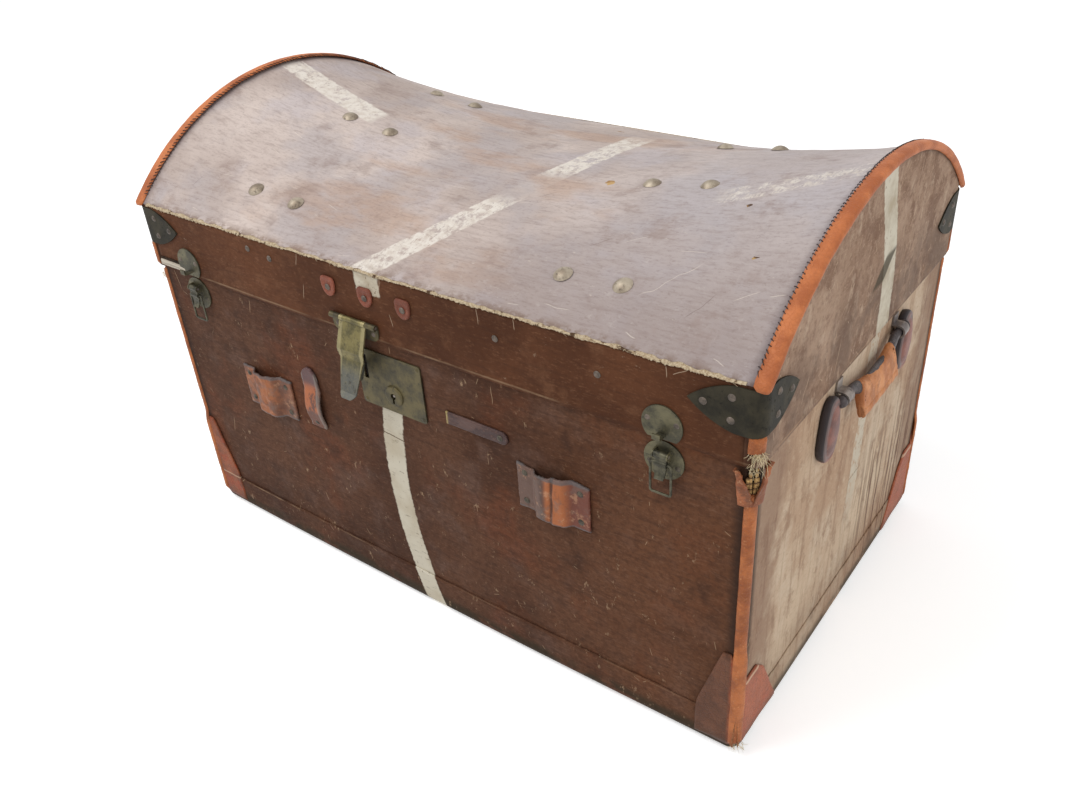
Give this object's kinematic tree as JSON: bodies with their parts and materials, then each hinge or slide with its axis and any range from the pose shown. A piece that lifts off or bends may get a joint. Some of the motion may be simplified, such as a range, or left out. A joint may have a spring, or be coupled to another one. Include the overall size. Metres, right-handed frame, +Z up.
{
  "type": "dome top trunk",
  "caption": "Saddle-backed dome top travelling trunk of canvas-covered woven cane, with leather bindings, a hasp lock, draw catches and end handles.",
  "frame": {"origin": "on the floor, midway between the base's two ends and midway between its front and back corners", "axes": "+X along the front towards the right-hand end, +Y from the front to the back, +Z up"},
  "size_m": [0.8412, 0.5322, 0.5515],
  "materials": {
    "woven_cane": "open woven cane, dry",
    "trunk_canvas": "painted canvas, worn",
    "dome_canvas": "painted canvas, faded by the sun",
    "lining_cloth": "striped ticking, soiled",
    "hoop_wood": "bent ash, bare",
    "batten_wood": "bent ash, bare",
    "binding_leather": "vegetable-tanned, worn",
    "patch_leather": "vegetable-tanned, scuffed",
    "strap_leather": "harness leather, dark",
    "grip_leather": "harness leather, rubbed",
    "iron": "japanned sheet, worn",
    "lock_brass": "aged",
    "fitting_brass": "aged, dull",
    "steel": "tarnished",
    "rivet_metal": "copper-washed, dull"
  },
  "bodies": {
    "base": {"base_basket": "woven_cane", "base_canvas": "trunk_canvas", "base_bottom_canvas": "trunk_canvas", "base_lining": "lining_cloth", "base_hoop": "hoop_wood", "corner_bindings_front": "binding_leather", "corner_bindings_back": "binding_leather", "corner_patches": "patch_leather", "lock_plate": "lock_brass", "lock_case": "steel", "lock_spring": "steel", "lock_drill_pin": "steel", "lock_pins": "rivet_metal", "catch_plate_left": "fitting_brass", "catch_plate_right": "fitting_brass", "catch_pins": "steel", "strap_keeper_left": "strap_leather", "strap_keeper_right": "strap_leather", "broken_strap": "strap_leather", "front_tab": "strap_leather", "base_rivets": "rivet_metal", "handle_chapes_left": "strap_leather", "handle_chapes_right": "strap_leather", "handle_loops_left": "fitting_brass", "handle_loops_right": "fitting_brass", "hinge_leaves_base": "fitting_brass", "hinge_pins": "steel"},
    "lid": {"lid_basket": "woven_cane", "dome_canvas": "dome_canvas", "rim_canvas": "trunk_canvas", "end_canvas_left": "trunk_canvas", "end_canvas_right": "trunk_canvas", "lid_lining": "lining_cloth", "lid_hoop": "hoop_wood", "arch_binding_left": "binding_leather", "arch_binding_right": "binding_leather", "corner_irons_front": "iron", "corner_irons_back": "iron", "lid_corner_bindings": "binding_leather", "dome_batten_left": "batten_wood", "dome_batten_right": "batten_wood", "dome_studs": "rivet_metal", "stud_washers": "rivet_metal", "hasp_plate": "lock_brass", "hasp_pin": "steel", "strikes": "fitting_brass", "leather_washers": "strap_leather", "hinge_leaves_lid": "fitting_brass", "lid_rivets": "rivet_metal"},
    "hasp": {"hasp": "lock_brass"},
    "lock_bolt": {"lock_bolt": "steel"},
    "catch_lever_left": {"catch_lever_left": "steel"},
    "catch_loop_left": {"catch_loop_left": "steel"},
    "handle_left": {"handle_strap_left": "strap_leather", "handle_pad_left": "grip_leather"},
    "catch_lever_right": {"catch_lever_right": "steel"},
    "catch_loop_right": {"catch_loop_right": "steel"},
    "handle_right": {"handle_strap_right": "strap_leather", "handle_pad_right": "grip_leather"}
  },
  "joints": [
    {"name": "lid_hinge", "type": "hinge", "parent": "base", "child": "lid", "pos_m": [0, 0.24757, 0.36525], "axis": [-1, 0, 0], "range_deg": [0, 100]},
    {"name": "hasp_hinge", "type": "hinge", "parent": "lid", "child": "hasp", "pos_m": [-0.05002, -0.25134, 0.384], "axis": [-1, 0.0025, 0], "range_deg": [-20, 130]},
    {"name": "lock_bolt_slide", "type": "slide", "parent": "base", "child": "lock_bolt", "axis": [-1, 0.0007, 0], "range_m": [0, 0.0075]},
    {"name": "catch_lever_left_hinge", "type": "hinge", "parent": "base", "child": "catch_lever_left", "pos_m": [-0.33012, -0.24828, 0.351], "axis": [0.9999, -0.0165, 0], "range_deg": [-100, 0]},
    {"name": "catch_loop_left_hinge", "type": "hinge", "parent": "catch_lever_left", "child": "catch_loop_left", "pos_m": [-0.33012, -0.24828, 0.342], "axis": [-0.9999, 0.0165, 0], "range_deg": [0, 170]},
    {"name": "catch_lever_right_hinge", "type": "hinge", "parent": "base", "child": "catch_lever_right", "pos_m": [0.31511, -0.24852, 0.351], "axis": [0.9999, 0.0157, 0], "range_deg": [-100, 0]},
    {"name": "catch_loop_right_hinge", "type": "hinge", "parent": "catch_lever_right", "child": "catch_loop_right", "pos_m": [0.31511, -0.24852, 0.342], "axis": [-0.9999, -0.0157, 0], "range_deg": [0, 170]},
    {"name": "handle_left_hinge", "type": "hinge", "parent": "base", "child": "handle_left", "pos_m": [-0.408, 0.007, 0.341], "axis": [0, 1, 0], "range_deg": [-12, 116]},
    {"name": "handle_right_hinge", "type": "hinge", "parent": "base", "child": "handle_right", "pos_m": [0.408, 0.007, 0.341], "axis": [0, -1, 0], "range_deg": [-12, 116]}
  ]
}
